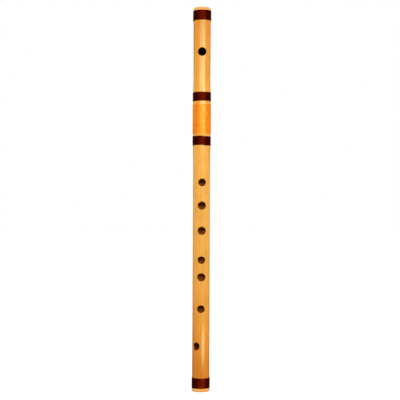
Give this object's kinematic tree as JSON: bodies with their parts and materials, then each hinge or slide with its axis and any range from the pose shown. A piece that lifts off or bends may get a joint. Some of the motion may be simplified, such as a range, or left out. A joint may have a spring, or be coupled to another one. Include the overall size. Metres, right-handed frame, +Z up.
{
  "type": "transverse bamboo flute",
  "caption": "Transverse bamboo flute: a bored tube with a mouth hole, finger holes and a turned tuning hole, thread bindings, a wound grip and a sliding stopper cork.",
  "frame": {"origin": "centre of the tube's end face at the foot", "axes": "+Z up the bore from foot to head; the mouth hole and the finger holes open towards -Y; the tuning hole is turned from -Y towards -X"},
  "size_m": [0.0232, 0.0232, 0.482],
  "materials": {
    "bamboo": "oiled bamboo skin, satin",
    "cork": "matt cork",
    "binding_thread": "waxed maroon thread",
    "grip_silk": "orange silk thread"
  },
  "bodies": {
    "flute": {"bamboo_tube": "bamboo", "head_binding": "binding_thread", "upper_ring": "binding_thread", "grip_winding": "grip_silk", "lower_ring": "binding_thread", "foot_binding": "binding_thread"},
    "stopper": {"stopper_cork": "cork"}
  },
  "joints": [
    {"name": "stopper_slide", "type": "slide", "parent": "flute", "child": "stopper", "axis": [0, 0, 1], "range_m": [-0.006, 0.022]}
  ]
}
